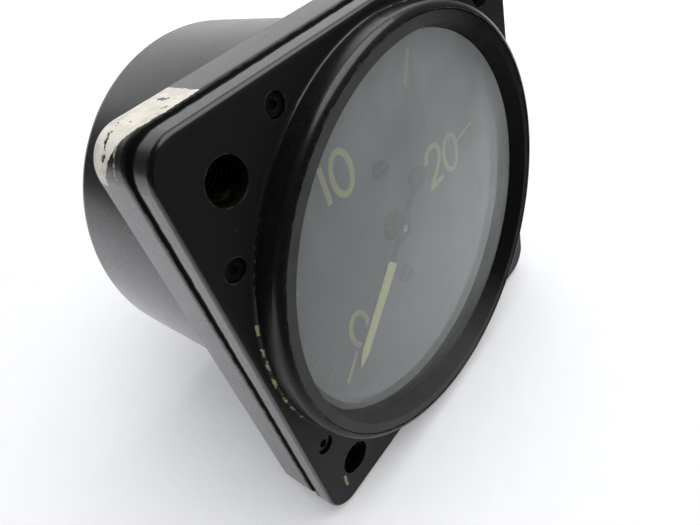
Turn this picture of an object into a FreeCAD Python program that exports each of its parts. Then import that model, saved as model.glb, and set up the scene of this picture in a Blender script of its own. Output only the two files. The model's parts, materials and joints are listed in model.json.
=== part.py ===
# Radar pressure indicator: a small panel gauge with a Bourdon tube movement.
# Millimetres, +Z up. The dial looks along -Y and the gauge axis is the Y axis.
# The origin is the centre of the mounting holes, on the front face of the flange.

import math
import os

import FreeCAD
import Part

# Flange and case sizes
flange_border = 1.35
flange_corner_radius = 4.0
bezel_flange_thickness = 2.9
flange_gasket_thickness = 0.4
case_flange_thickness = 6.2
front_edge_fillet = 0.7
seam_chamfer = 0.3
gasket_inset = 0.5
case_step = 1.45
case_wall = 2.75
case_depth = 31.5
case_rear_wall = 2.6
case_rear_edge_fillet = 2.4
case_root_fillet = 1.0
dial_seat_width = 1.1

# Mounting holes and their inserts
mount_hole_inset = 6.575
mount_hole_radius = 2.45
insert_bore_radius = 2.05
insert_recess = 0.9
insert_head_radius = 3.4
insert_head_height = 0.8

# Screws that hold the bezel flange on the case flange
case_screw_pitch = 8.075
case_screw_edge = 3.3
case_screw_head_radius = 1.15
case_screw_head_height = 0.9
case_screw_shank_radius = 0.72
case_screw_reach = 4.6
counterbore_radius = 1.32
counterbore_depth = 1.35
case_screw_socket_radius = 0.6
case_screw_socket_depth = 0.45

# Bezel ring, glass and their seats
ring_wall = 1.0
ring_height = 3.7
ring_shoulder_radius = 1.0
ring_foot_fillet = 0.4
retainer_seat_width = 1.4
retainer_front_width = 1.3
retainer_back_width = 1.9
retainer_setback = 0.1
glass_seat_width = 1.3
glass_thickness = 2.0
glass_front_depth = 2.5
glass_gasket_thickness = 0.5
window_radius = 25.0

# Dial and its fixings
dial_thickness = 0.8
dial_depth = 5.0
dial_hole_radius = 2.3
dial_spacer_wall = 0.6
dial_screw_offset = 9.2
dial_screw_head_radius = 1.3
dial_screw_head_height = 0.8
dial_screw_shank_radius = 0.6
dial_screw_reach = 2.2
dial_screw_slot = 0.35
dial_screw_slot_depth = 0.35
dial_post_radius = 1.6

# Pointer
pointer_bearing = -130.9
pointer_plane_depth = 3.15
pointer_sheet = 0.4
pointer_tip_reach = 20.8
pointer_blade_start = 5.0
pointer_blade_width = 2.1
pointer_point_length = 2.2
pointer_point_width = 1.8
pointer_stem_width = 1.0
pointer_tail_centre = 7.2
pointer_tail_radius = 1.8
pointer_tail_eye = 0.9
hub_radius = 1.9
hub_sleeve_radius = 1.18
hub_front = 0.35
hub_back = 0.9

# Gear pair
gear_module = 0.3
pinion_teeth = 10
sector_full_teeth = 64
sector_teeth_before = 2
sector_teeth_after = 10
gear_pressure_angle = 20.0
gear_profile_shift = 0.45
gear_addendum = 0.9
gear_dedendum = 1.25
gear_backlash = 0.05
pinion_face_width = 2.0
sector_sheet = 1.0

# Movement frame
front_plate_depth = 9.0
plate_thickness = 1.2
plate_spacing = 4.8
post_radius = 1.3
lower_post_x = 7.0
lower_post_z = -15.2
plate_rim = 2.6
plate_screw_head_radius = 1.25
plate_screw_head_height = 0.8
plate_screw_shank_radius = 0.6
plate_screw_reach = 2.2
plate_screw_slot = 0.35
movement_screw_offset = 4.6

# Arbors, pins and hairspring
arbor_radius = 0.5
arbor_end_play = 0.3
arbor_front_recess = 0.2
stud_bearing = 0.0
pin_radius = 0.45
pin_head_radius = 0.85
pin_head_height = 0.3
collet_radius = 1.2
collet_length = 1.1
hairspring_outer_radius = 4.6
hairspring_turns = 4.0
hairspring_strip = 0.12
hairspring_height = 0.6
stud_radius = 0.45
sector_collar_radius = 1.1
sector_hub_radius = 2.2
sector_rim_width = 1.5
sector_spoke_width = 2.4

# Link between the tube tip and the tail of the sector
tail_arm = 3.6
tail_bearing = 138.0
tip_pin_x = 12.0
tip_pin_z = 0.0
link_thickness = 0.5
link_width = 1.5
link_end_radius = 1.15
open_pivot_clearance = 0.22
layer_gap = 0.3

# Bourdon tube and its ends
tube_radius = 17.5
tube_width = 10.0
tube_height = 3.0
tube_wall = 0.4
tube_depth = 19.4
tube_root_bearing = -125.0
tube_tip_bearing = 95.0
tip_length = 3.2
tip_lug_thickness = 1.0
tip_lug_radius = 1.4

# Pressure socket and its fixing through the rear wall
socket_boss_radius = 7.0
socket_arm_width = 9.0
socket_arm_overhang = 1.4
socket_arm_margin = 1.2
socket_shoulder_radius = 9.5
socket_shoulder_thickness = 2.8
stem_radius = 6.0
stem_seal_thickness = 0.6
washer_radius = 9.4
washer_thickness = 0.9
nut_across_flats = 17.5
nut_thickness = 4.4
nut_chamfer = 0.8
stem_thread_run_out = 1.3
port_radius = 5.55
port_length = 11.0
port_cone_angle = 37.0
port_mouth_radius = 3.6
pressure_bore_radius = 1.5

# Clearances
wide_fit = 0.1
close_fit = 0.05
running_fit = 0.04
relief_gap = 0.4

# Radii that follow from the window outwards
glass_radius = window_radius + glass_seat_width
retainer_outer_radius = glass_radius + retainer_seat_width
retainer_front_radius = retainer_outer_radius - retainer_front_width
retainer_back_radius = retainer_outer_radius - retainer_back_width
ring_outer_radius = retainer_outer_radius + wide_fit + ring_wall
flange_side = 2.0 * (ring_outer_radius + flange_border)
case_outer_radius = ring_outer_radius - case_step

# Places along the gauge axis
case_flange_front = bezel_flange_thickness + flange_gasket_thickness
case_flange_back = case_flange_front + case_flange_thickness
case_back = case_flange_back + case_depth
case_floor = case_back - case_rear_wall
case_bore_radius = case_outer_radius - case_wall
dial_recess_radius = case_bore_radius + dial_seat_width
dial_radius = dial_recess_radius - wide_fit
dial_back = dial_depth + dial_thickness
glass_front = glass_front_depth - ring_height
glass_back = glass_front + glass_thickness
glass_seat = glass_back + glass_gasket_thickness
ring_front = -ring_height
front_plate_back = front_plate_depth + plate_thickness
back_plate_front = front_plate_back + plate_spacing
back_plate_back = back_plate_front + plate_thickness
gear_middle = front_plate_back + layer_gap + 0.5 * pinion_face_width + 0.2
sector_front = gear_middle - 0.5 * sector_sheet
sector_back = gear_middle + 0.5 * sector_sheet
link_front = sector_back + layer_gap
link_back = link_front + link_thickness
lug_front = link_back + layer_gap
lug_back = lug_front + tip_lug_thickness
pinion_front = gear_middle - 0.5 * pinion_face_width
pinion_back = gear_middle + 0.5 * pinion_face_width
collet_front = pinion_back + close_fit
collet_back = collet_front + collet_length
hairspring_front = collet_front + 0.5 * (collet_length - hairspring_height)
tube_back = tube_depth + tube_width
half_spacing = 0.5 * flange_side - mount_hole_inset
case_screw_near = half_spacing - case_screw_pitch
case_screw_far = 0.5 * flange_side - case_screw_edge
gear_distance = 0.5 * gear_module * (pinion_teeth + sector_full_teeth)
sector_x = 0.0
sector_z = -gear_distance
inlet_end = case_back + washer_thickness + nut_thickness + stem_thread_run_out + port_length

along_axis = FreeCAD.Vector(0, 1, 0)
origin = FreeCAD.Vector(0, 0, 0)


def at_bearing(bearing, reach):
    """Point in the dial plane, with its bearing clockwise from the top mark."""
    angle = math.radians(bearing)
    return reach * math.sin(angle), reach * math.cos(angle)


def disc(radius, front, back, x=0.0, z=0.0):
    """Round bar along the gauge axis."""
    return Part.makeCylinder(radius, back - front, FreeCAD.Vector(x, front, z), along_axis)


def ring(outer, inner, front, back, x=0.0, z=0.0):
    """Round sleeve along the gauge axis."""
    return disc(outer, front, back, x, z).cut(disc(inner, front, back, x, z))


def plate(points, front, back):
    """Flat sheet from its outline in the dial plane."""
    corners = [FreeCAD.Vector(x, front, z) for x, z in points]
    outline = Part.makePolygon(corners + [corners[0]])
    return Part.Face(outline).extrude(FreeCAD.Vector(0, back - front, 0))


def strap(x0, z0, x1, z1, width, front, back):
    """Straight bar of even width between two points of the dial plane."""
    run = math.hypot(x1 - x0, z1 - z0)
    side_x = -(z1 - z0) / run * 0.5 * width
    side_z = (x1 - x0) / run * 0.5 * width
    corners = [
        (x0 + side_x, z0 + side_z),
        (x1 + side_x, z1 + side_z),
        (x1 - side_x, z1 - side_z),
        (x0 - side_x, z0 - side_z),
    ]
    return plate(corners, front, back)


def turned(profile):
    """Full revolve about the gauge axis of (radius, depth) corners."""
    corners = [FreeCAD.Vector(radius, depth, 0) for radius, depth in profile]
    face = Part.Face(Part.makePolygon(corners + [corners[0]]))
    return face.revolve(origin, along_axis, 360)


def edges_along_axis(shape):
    """Straight edges that run along the gauge axis."""
    found = []
    for edge in shape.Edges:
        start = edge.Vertexes[0].Point
        end = edge.Vertexes[-1].Point
        if abs(start.y - end.y) > 0.5 * edge.Length and edge.Curve.TypeId == "Part::GeomLine":
            found.append(edge)
    return found


def flange_plate(side, corner, front, back):
    """Square plate with rounded corners."""
    block = Part.makeBox(side, back - front, side, FreeCAD.Vector(-0.5 * side, front, -0.5 * side))
    return block.makeFillet(corner, edges_along_axis(block))


def outline_edges(shape, depth, side):
    """Edges of a flange outline that lie in one plane square to the axis."""
    found = []
    for edge in shape.Edges:
        box = edge.BoundBox
        flat = abs(box.YMin - depth) < 1e-6 and abs(box.YMax - depth) < 1e-6
        outer = max(abs(box.XMin), abs(box.XMax), abs(box.ZMin), abs(box.ZMax)) > 0.499 * side
        if flat and outer:
            found.append(edge)
    return found


def circle_edges(shape, radius, depth):
    """Circular edges of one radius about the gauge axis at one depth."""
    found = []
    for edge in shape.Edges:
        if edge.Curve.TypeId != "Part::GeomCircle":
            continue
        centre = edge.Curve.Center
        on_axis = math.hypot(centre.x, centre.z) < 1e-6 and abs(centre.y - depth) < 1e-6
        if on_axis and abs(edge.Curve.Radius - radius) < 1e-6:
            found.append(edge)
    return found


def corner_points(reach):
    """The four corners of a square hole pattern."""
    return [(sx * reach, sz * reach) for sx in (-1, 1) for sz in (-1, 1)]


def case_screw_points():
    """Eight screw places, two beside each mounting hole."""
    points = []
    for sx in (-1, 1):
        for sz in (-1, 1):
            points.append((sx * case_screw_near, sz * case_screw_far))
            points.append((sx * case_screw_far, sz * case_screw_near))
    return points


def slotted_screw(x, z, seat, head_radius, head_height, shank_radius, reach, slot, slot_depth):
    """Cheese-head screw whose head stands in front of its seat."""
    screw = disc(head_radius, seat - head_height, seat, x, z)
    screw = screw.fuse(disc(shank_radius, seat, seat + reach, x, z))
    top = seat - head_height
    groove = Part.makeBox(
        3.0 * head_radius,
        slot_depth,
        slot,
        FreeCAD.Vector(x - 1.5 * head_radius, top, z - 0.5 * slot),
    )
    return screw.cut(groove).removeSplitter()


def group(shapes):
    """Separate solids that share one node."""
    return Part.makeCompound(shapes)


def involute(angle):
    return math.tan(angle) - angle


def tooth_half_angle(teeth, shift, radius):
    """Half of the angle that one tooth fills at a radius."""
    pressure = math.radians(gear_pressure_angle)
    pitch = 0.5 * gear_module * teeth
    base = pitch * math.cos(pressure)
    half = (0.5 * math.pi + 2.0 * shift * math.tan(pressure)) / teeth
    half = half - 0.25 * gear_backlash / pitch + involute(pressure)
    if radius <= base:
        return half
    return half - involute(math.acos(base / radius))


def tooth_flank(teeth, shift, steps):
    """Radius and half angle from the root to the tip of a tooth."""
    pitch = 0.5 * gear_module * teeth
    root = pitch - gear_module * (gear_dedendum - shift)
    tip = pitch + gear_module * (gear_addendum + shift)
    flank = []
    for step in range(steps + 1):
        radius = root + (tip - root) * step / steps
        flank.append((radius, tooth_half_angle(teeth, shift, radius)))
    return flank


def tooth_outline(teeth, shift, bearing):
    """Corners of one tooth, anticlockwise side first."""
    flank = tooth_flank(teeth, shift, 5)
    corners = [at_bearing(bearing - math.degrees(half), radius) for radius, half in flank]
    for radius, half in reversed(flank):
        corners.append(at_bearing(bearing + math.degrees(half), radius))
    return corners


def moved(points, x, z):
    return [(x + px, z + pz) for px, pz in points]


# Bezel flange with its raised ring
def make_bezel():
    body = flange_plate(flange_side, flange_corner_radius, 0.0, bezel_flange_thickness)
    body = body.makeFillet(front_edge_fillet, outline_edges(body, 0.0, flange_side))
    collar = disc(ring_outer_radius, ring_front, 0.5 * bezel_flange_thickness)
    body = body.fuse(collar).removeSplitter()
    body = body.makeFillet(ring_foot_fillet, circle_edges(body, ring_outer_radius, 0.0))
    body = body.makeFillet(ring_shoulder_radius, circle_edges(body, ring_outer_radius, ring_front))
    body = body.cut(disc(retainer_outer_radius + wide_fit, ring_front, glass_front))
    body = body.cut(disc(glass_radius + wide_fit, glass_front, glass_seat))
    body = body.cut(disc(window_radius, glass_seat, bezel_flange_thickness))
    for x, z in corner_points(half_spacing):
        body = body.cut(disc(mount_hole_radius, 0.0, bezel_flange_thickness, x, z))
    for x, z in case_screw_points():
        body = body.cut(disc(counterbore_radius, 0.0, counterbore_depth, x, z))
        shank_hole = case_screw_shank_radius + close_fit
        body = body.cut(disc(shank_hole, counterbore_depth, bezel_flange_thickness, x, z))
    return body


# Moulded case: square flange and round cup in one piece
def make_case():
    body = flange_plate(flange_side, flange_corner_radius, case_flange_front, case_flange_back)
    body = body.makeChamfer(seam_chamfer, outline_edges(body, case_flange_front, flange_side))
    cup = disc(case_outer_radius, case_flange_front, case_back)
    body = body.fuse(cup).removeSplitter()
    body = body.makeFillet(
        case_root_fillet, circle_edges(body, case_outer_radius, case_flange_back)
    )
    body = body.makeFillet(case_rear_edge_fillet, circle_edges(body, case_outer_radius, case_back))
    body = body.cut(disc(dial_recess_radius, case_flange_front, dial_back))
    body = body.cut(disc(case_bore_radius, dial_back, case_floor))
    body = body.cut(disc(stem_radius + wide_fit, case_floor, case_back))
    for x, z in corner_points(half_spacing):
        body = body.cut(disc(mount_hole_radius, case_flange_front, case_flange_back, x, z))
    blind_end = counterbore_depth + case_screw_reach + relief_gap
    for x, z in case_screw_points():
        shank_hole = case_screw_shank_radius + close_fit
        body = body.cut(disc(shank_hole, case_flange_front, blind_end, x, z))
    return body


# Gasket between the two flanges
def make_flange_gasket():
    side = flange_side - 2.0 * gasket_inset
    corner = flange_corner_radius - gasket_inset
    body = flange_plate(side, corner, bezel_flange_thickness, case_flange_front)
    body = body.cut(disc(dial_recess_radius, bezel_flange_thickness, case_flange_front))
    for x, z in corner_points(half_spacing):
        body = body.cut(disc(mount_hole_radius, bezel_flange_thickness, case_flange_front, x, z))
    for x, z in case_screw_points():
        hole = case_screw_shank_radius + close_fit
        body = body.cut(disc(hole, bezel_flange_thickness, case_flange_front, x, z))
    return body


# Plated inserts that take the panel screws
def make_mounting_inserts():
    sleeve_radius = mount_hole_radius - close_fit
    back = case_flange_back + insert_head_height
    inserts = []
    for x, z in corner_points(half_spacing):
        insert = disc(sleeve_radius, insert_recess, case_flange_back, x, z)
        head = disc(insert_head_radius, case_flange_back, back, x, z)
        insert = insert.fuse(head)
        inserts.append(insert.cut(disc(insert_bore_radius, insert_recess, back, x, z)))
    return group(inserts)


def make_case_screws():
    screws = []
    head_front = counterbore_depth - case_screw_head_height
    socket_floor = head_front + case_screw_socket_depth
    shank_end = counterbore_depth + case_screw_reach
    for x, z in case_screw_points():
        head = disc(case_screw_head_radius, head_front, counterbore_depth, x, z)
        shank = disc(case_screw_shank_radius, counterbore_depth, shank_end, x, z)
        socket = disc(case_screw_socket_radius, head_front, socket_floor, x, z)
        screws.append(head.fuse(shank).cut(socket).removeSplitter())
    return group(screws)


# Glass with the ring in front of it and the gasket behind it
def make_glass():
    return disc(glass_radius, glass_front, glass_back)


def make_glass_gasket():
    return ring(glass_radius, window_radius, glass_back, glass_seat)


def make_retaining_ring():
    front = ring_front + retainer_setback
    return turned(
        [
            (retainer_back_radius, glass_front),
            (retainer_outer_radius, glass_front),
            (retainer_outer_radius, front),
            (retainer_front_radius, front),
        ]
    )


# Dial, the ring that keeps it seated, its posts and its screws
def make_dial():
    body = disc(dial_radius, dial_depth, dial_back)
    body = body.cut(disc(dial_hole_radius, dial_depth, dial_back))
    hole = dial_screw_shank_radius + close_fit
    for z in (-dial_screw_offset, dial_screw_offset):
        body = body.cut(disc(hole, dial_depth, dial_back, 0.0, z))
    return body


def make_dial_spacer():
    return ring(dial_radius, dial_radius - dial_spacer_wall, bezel_flange_thickness, dial_depth)


def make_dial_posts():
    hole = dial_screw_shank_radius + close_fit
    blind_end = dial_depth + dial_screw_reach + relief_gap
    posts = []
    for z in (-dial_screw_offset, dial_screw_offset):
        post = disc(dial_post_radius, dial_back, front_plate_depth, 0.0, z)
        posts.append(post.cut(disc(hole, dial_back, blind_end, 0.0, z)))
    return group(posts)


def make_dial_screws():
    screws = []
    for z in (-dial_screw_offset, dial_screw_offset):
        screws.append(
            slotted_screw(
                0.0,
                z,
                dial_depth,
                dial_screw_head_radius,
                dial_screw_head_height,
                dial_screw_shank_radius,
                dial_screw_reach,
                dial_screw_slot,
                dial_screw_slot_depth,
            )
        )
    return group(screws)


# Pointer with its lance blade, stem and round counterweight
def make_pointer():
    front = pointer_plane_depth
    back = pointer_plane_depth + pointer_sheet
    blade = [
        (-0.5 * pointer_blade_width, pointer_blade_start),
        (-0.5 * pointer_point_width, pointer_tip_reach - pointer_point_length),
        (0.0, pointer_tip_reach),
        (0.5 * pointer_point_width, pointer_tip_reach - pointer_point_length),
        (0.5 * pointer_blade_width, pointer_blade_start),
    ]
    body = plate(blade, front, back)
    stem_reach = pointer_tail_centre - pointer_tail_eye
    stem = strap(0.0, -stem_reach, 0.0, pointer_blade_start, pointer_stem_width, front, back)
    tail = ring(
        pointer_tail_radius, pointer_tail_eye, front, back, 0.0, -pointer_tail_centre
    )
    body = body.fuse([stem, disc(hub_radius, front, back), tail])
    body = body.cut(disc(pointer_tail_eye, front, back, 0.0, -pointer_tail_centre))
    body = body.cut(disc(arbor_radius + close_fit, front, back)).removeSplitter()
    body.rotate(origin, along_axis, pointer_bearing)
    return body


def make_pointer_hub():
    back = pointer_plane_depth + pointer_sheet
    sleeve = ring(hub_sleeve_radius, arbor_radius + close_fit, back, back + hub_back)
    return sleeve


def make_pointer_cap():
    front = pointer_plane_depth - hub_front
    return ring(hub_sleeve_radius, arbor_radius + close_fit, front, pointer_plane_depth)


# Pinion on its arbor
def make_pinion_arbor():
    front = pointer_plane_depth - hub_front
    body = disc(arbor_radius, front, back_plate_back + arbor_end_play)
    return body


def make_pinion():
    flank = tooth_flank(pinion_teeth, gear_profile_shift, 5)
    outline = []
    for tooth in range(pinion_teeth):
        bearing = 180.0 + (tooth + 0.5) * 360.0 / pinion_teeth
        outline.extend(tooth_outline(pinion_teeth, gear_profile_shift, bearing))
    body = plate(outline, pinion_front, pinion_back)
    body = body.fuse(disc(flank[0][0], pinion_front, pinion_back)).removeSplitter()
    return body.cut(disc(arbor_radius + close_fit, pinion_front, pinion_back))


# Toothed sector with its hub, spokes and tail
def sector_pitch():
    return 360.0 / sector_full_teeth


def make_sector():
    shift = -gear_profile_shift
    flank = tooth_flank(sector_full_teeth, shift, 5)
    root = flank[0][0]
    outline = []
    for tooth in range(-sector_teeth_before, sector_teeth_after + 1):
        outline.extend(tooth_outline(sector_full_teeth, shift, tooth * sector_pitch()))
    first = -(sector_teeth_before + 0.5) * sector_pitch()
    last = (sector_teeth_after + 0.5) * sector_pitch()
    inner = root - sector_rim_width
    steps = 3 * (sector_teeth_before + sector_teeth_after)
    outline.append(at_bearing(last, root))
    for step in range(steps + 1):
        bearing = last + (first - last) * step / steps
        outline.append(at_bearing(bearing, inner))
    outline.append(at_bearing(first, root))
    body = plate(moved(outline, sector_x, sector_z), sector_front, sector_back)
    middle_reach = inner + 0.5 * sector_rim_width
    spokes = []
    for bearing in (first + 0.5 * sector_pitch() * sector_teeth_before, last - sector_pitch()):
        end_x, end_z = at_bearing(bearing, middle_reach)
        spokes.append(
            strap(
                sector_x,
                sector_z,
                sector_x + end_x,
                sector_z + end_z,
                sector_spoke_width,
                sector_front,
                sector_back,
            )
        )
    tail_x, tail_z = tail_point()
    tail = strap(sector_x, sector_z, tail_x, tail_z, link_width, sector_front, sector_back)
    tail_end = disc(link_end_radius, sector_front, sector_back, tail_x, tail_z)
    hub = disc(sector_hub_radius, sector_front, sector_back, sector_x, sector_z)
    body = body.fuse(spokes + [tail, tail_end, hub])
    arbor_hole = arbor_radius + close_fit
    body = body.cut(disc(arbor_hole, sector_front, sector_back, sector_x, sector_z))
    pin_hole = pin_radius + close_fit
    body = body.cut(disc(pin_hole, sector_front, sector_back, tail_x, tail_z))
    return body.removeSplitter()


def tail_point():
    x, z = at_bearing(tail_bearing, tail_arm)
    return sector_x + x, sector_z + z


def make_sector_arbor():
    front = front_plate_depth + arbor_front_recess
    back = back_plate_back + arbor_end_play
    body = disc(arbor_radius, front, back, sector_x, sector_z)
    collar_back = back_plate_front - layer_gap
    collar = disc(sector_collar_radius, sector_back, collar_back, sector_x, sector_z)
    return body.fuse(collar).removeSplitter()


def make_sector_pin():
    x, z = tail_point()
    head_front = link_back + layer_gap
    body = disc(pin_radius, sector_front, head_front, x, z)
    return body.fuse(disc(pin_head_radius, head_front, head_front + pin_head_height, x, z))


# Link from the tube tip to the sector, with its open pivot at the sector
def make_link():
    x, z = tail_point()
    body = strap(x, z, tip_pin_x, tip_pin_z, link_width, link_front, link_back)
    ends = [
        disc(link_end_radius, link_front, link_back, x, z),
        disc(link_end_radius, link_front, link_back, tip_pin_x, tip_pin_z),
    ]
    body = body.fuse(ends)
    body = body.cut(disc(pin_radius + open_pivot_clearance, link_front, link_back, x, z))
    tip_hole = pin_radius + running_fit
    body = body.cut(disc(tip_hole, link_front, link_back, tip_pin_x, tip_pin_z))
    return body.removeSplitter()


def make_tip_pin():
    head_back = link_front - layer_gap
    head_front = head_back - pin_head_height
    body = disc(pin_radius, head_back, lug_back, tip_pin_x, tip_pin_z)
    return body.fuse(disc(pin_head_radius, head_front, head_back, tip_pin_x, tip_pin_z))


# Flattened spring tube, bent round the movement
def oval_face(inset):
    """Flattened cross-section of the tube, standing at the top of its bend."""
    half_width = 0.5 * tube_width - inset
    half_height = 0.5 * tube_height - inset
    middle = tube_depth + 0.5 * tube_width
    straight = half_width - half_height
    low = tube_radius - half_height
    high = tube_radius + half_height
    front = middle - straight
    back = middle + straight
    corner = [
        FreeCAD.Vector(0, front, low),
        FreeCAD.Vector(0, back, low),
        FreeCAD.Vector(0, back + half_height, tube_radius),
        FreeCAD.Vector(0, back, high),
        FreeCAD.Vector(0, front, high),
        FreeCAD.Vector(0, front - half_height, tube_radius),
    ]
    outline = [
        Part.LineSegment(corner[0], corner[1]).toShape(),
        Part.Arc(corner[1], corner[2], corner[3]).toShape(),
        Part.LineSegment(corner[3], corner[4]).toShape(),
        Part.Arc(corner[4], corner[5], corner[0]).toShape(),
    ]
    return Part.Face(Part.Wire(outline))


def bent(face, start, end):
    """Revolve of a face at the top of the bend between two bearings."""
    placed = face.copy()
    placed.rotate(origin, along_axis, start)
    return placed.revolve(origin, along_axis, end - start)


def make_bourdon_tube():
    outside = bent(oval_face(0.0), tube_root_bearing, tube_tip_bearing)
    inside = bent(oval_face(tube_wall), tube_root_bearing, tube_tip_bearing)
    return outside.cut(inside)


# Tip block that closes the tube and carries the link
def make_tube_tip():
    half = 0.5 * tube_height
    low = tube_radius - half
    high = tube_radius + half
    block = [
        (0.0, low),
        (tip_length, low),
        (tip_length, high),
        (0.0, high),
    ]
    body = plate(block, lug_front, tube_back)
    body.rotate(origin, along_axis, tube_tip_bearing)
    root_x, root_z = at_bearing(tube_tip_bearing, tube_radius)
    side_x, side_z = at_bearing(tube_tip_bearing + 90.0, 0.5 * tip_length)
    arm = strap(
        root_x + side_x,
        root_z + side_z,
        tip_pin_x,
        tip_pin_z,
        2.0 * tip_lug_radius,
        lug_front,
        lug_back,
    )
    end = disc(tip_lug_radius, lug_front, lug_back, tip_pin_x, tip_pin_z)
    body = body.fuse([arm, end])
    hole = pin_radius + close_fit
    return body.cut(disc(hole, lug_front, lug_back, tip_pin_x, tip_pin_z)).removeSplitter()


# Pressure socket: boss, arm to the tube root, shoulder, stem and threaded port
def make_socket():
    shoulder_back = case_floor - stem_seal_thickness
    shoulder_front = shoulder_back - socket_shoulder_thickness
    nut_back = case_back + washer_thickness + nut_thickness
    port_front = nut_back + stem_thread_run_out
    arm_front = tube_depth - socket_arm_margin
    arm_back = tube_back + socket_arm_margin
    arm_reach = tube_radius + 0.5 * tube_height + socket_arm_overhang
    body = disc(socket_boss_radius, back_plate_back, shoulder_front)
    end_x, end_z = at_bearing(tube_root_bearing, arm_reach)
    arm = strap(0.0, 0.0, end_x, end_z, socket_arm_width, arm_front, arm_back)
    shoulder = disc(socket_shoulder_radius, shoulder_front, shoulder_back)
    stem = disc(stem_radius, shoulder_back, port_front)
    cone_length = (port_radius - port_mouth_radius) / math.tan(math.radians(port_cone_angle))
    port = turned(
        [
            (0.0, port_front),
            (port_radius, port_front),
            (port_radius, inlet_end - cone_length),
            (port_mouth_radius, inlet_end),
            (0.0, inlet_end),
        ]
    )
    body = body.fuse([arm, shoulder, stem, port])
    root = bent(oval_face(-close_fit), tube_root_bearing, tube_tip_bearing)
    body = body.cut(root)
    tube_middle = tube_depth + 0.5 * tube_width
    body = body.cut(disc(pressure_bore_radius, tube_middle, inlet_end))
    along_x, along_z = at_bearing(tube_root_bearing, 1.0)
    gallery = Part.makeCylinder(
        0.5 * tube_height - tube_wall,
        tube_radius,
        FreeCAD.Vector(0, tube_middle, 0),
        FreeCAD.Vector(along_x, 0, along_z),
    )
    body = body.cut(gallery)
    body = body.cut(
        disc(arbor_radius + relief_gap, back_plate_back, back_plate_back + 2.0 * relief_gap)
    )
    for x in (-movement_screw_offset, movement_screw_offset):
        hole = plate_screw_shank_radius + close_fit
        blind_end = back_plate_front + plate_screw_reach + relief_gap
        body = body.cut(disc(hole, back_plate_back, blind_end, x, 0.0))
    return body.removeSplitter()


def make_stem_seal():
    front = case_floor - stem_seal_thickness
    return ring(socket_shoulder_radius, stem_radius + wide_fit, front, case_floor)


def make_stem_washer():
    back = case_back + washer_thickness
    return ring(washer_radius, stem_radius + wide_fit, case_back, back)


def make_stem_nut():
    front = case_back + washer_thickness
    back = front + nut_thickness
    across_corners = 0.5 * nut_across_flats / math.cos(math.radians(30.0))
    corners = [at_bearing(60.0 * side, across_corners) for side in range(6)]
    body = plate(corners, front, back)
    crown = turned(
        [
            (0.0, front),
            (across_corners, front),
            (across_corners, back - 0.5 * nut_chamfer),
            (across_corners - nut_chamfer, back),
            (0.0, back),
        ]
    )
    body = body.common(crown)
    return body.cut(disc(stem_radius + close_fit, front, back))


# Movement frame: two plates on three posts
def frame_points():
    return [
        (0.0, dial_screw_offset),
        (lower_post_x, lower_post_z),
        (-lower_post_x, lower_post_z),
    ]


def frame_plate(front, back):
    """Triangular plate whose rounded corners lie round the posts."""
    corners = [FreeCAD.Vector(x, front, z) for x, z in frame_points()]
    wire = Part.makePolygon(corners + [corners[0]])
    face = Part.Face(wire).makeOffset2D(plate_rim, join=0)
    body = face.extrude(FreeCAD.Vector(0, back - front, 0))
    body = body.cut(disc(arbor_radius + running_fit, front, back))
    return body.cut(disc(arbor_radius + running_fit, front, back, sector_x, sector_z))


def make_front_plate():
    body = frame_plate(front_plate_depth, front_plate_back)
    hole = plate_screw_shank_radius + close_fit
    for x, z in frame_points()[1:]:
        body = body.cut(disc(hole, front_plate_depth, front_plate_back, x, z))
    return body


def make_back_plate():
    body = frame_plate(back_plate_front, back_plate_back)
    hole = plate_screw_shank_radius + close_fit
    for x in (-movement_screw_offset, movement_screw_offset):
        body = body.cut(disc(hole, back_plate_front, back_plate_back, x, 0.0))
    return body


def make_movement_posts():
    posts = []
    blind_end = front_plate_depth + plate_screw_reach + relief_gap
    hole = plate_screw_shank_radius + close_fit
    for x, z in frame_points():
        post = disc(post_radius, front_plate_back, back_plate_front, x, z)
        if x:
            post = post.cut(disc(hole, front_plate_back, blind_end, x, z))
        posts.append(post)
    return group(posts)


def make_plate_screws():
    screws = []
    for x, z in frame_points()[1:]:
        screws.append(
            slotted_screw(
                x,
                z,
                front_plate_depth,
                plate_screw_head_radius,
                plate_screw_head_height,
                plate_screw_shank_radius,
                plate_screw_reach,
                plate_screw_slot,
                0.5 * plate_screw_head_height,
            )
        )
    return group(screws)


def make_movement_screws():
    screws = []
    for x in (-movement_screw_offset, movement_screw_offset):
        screws.append(
            slotted_screw(
                x,
                0.0,
                back_plate_front,
                plate_screw_head_radius,
                0.5 * plate_screw_head_height,
                plate_screw_shank_radius,
                plate_screw_reach,
                plate_screw_slot,
                0.25 * plate_screw_head_height,
            )
        )
    return group(screws)


# Hairspring with its collet and stud
def make_collet():
    return ring(collet_radius, arbor_radius + close_fit, collet_front, collet_back)


def spiral_curve(offset):
    """Smooth spiral that starts beside the collet and ends at the stud."""
    inner = collet_radius + close_fit + 0.5 * hairspring_strip
    steps = int(round(12 * hairspring_turns))
    points = []
    for step in range(steps + 1):
        share = step / steps
        radius = inner + (hairspring_outer_radius - inner) * share + offset
        turned_back = 360.0 * hairspring_turns * (1.0 - share)
        x, z = at_bearing(stud_bearing - turned_back, radius)
        points.append(FreeCAD.Vector(x, hairspring_front, z))
    curve = Part.BSplineCurve()
    curve.interpolate(points)
    return curve, points


def make_hairspring():
    inside, inside_points = spiral_curve(-0.5 * hairspring_strip)
    outside, outside_points = spiral_curve(0.5 * hairspring_strip)
    edges = [
        inside.toShape(),
        Part.LineSegment(inside_points[-1], outside_points[-1]).toShape(),
        outside.toShape(),
        Part.LineSegment(outside_points[0], inside_points[0]).toShape(),
    ]
    face = Part.Face(Part.Wire(Part.__sortEdges__(edges)))
    return face.extrude(FreeCAD.Vector(0, hairspring_height, 0))


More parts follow.
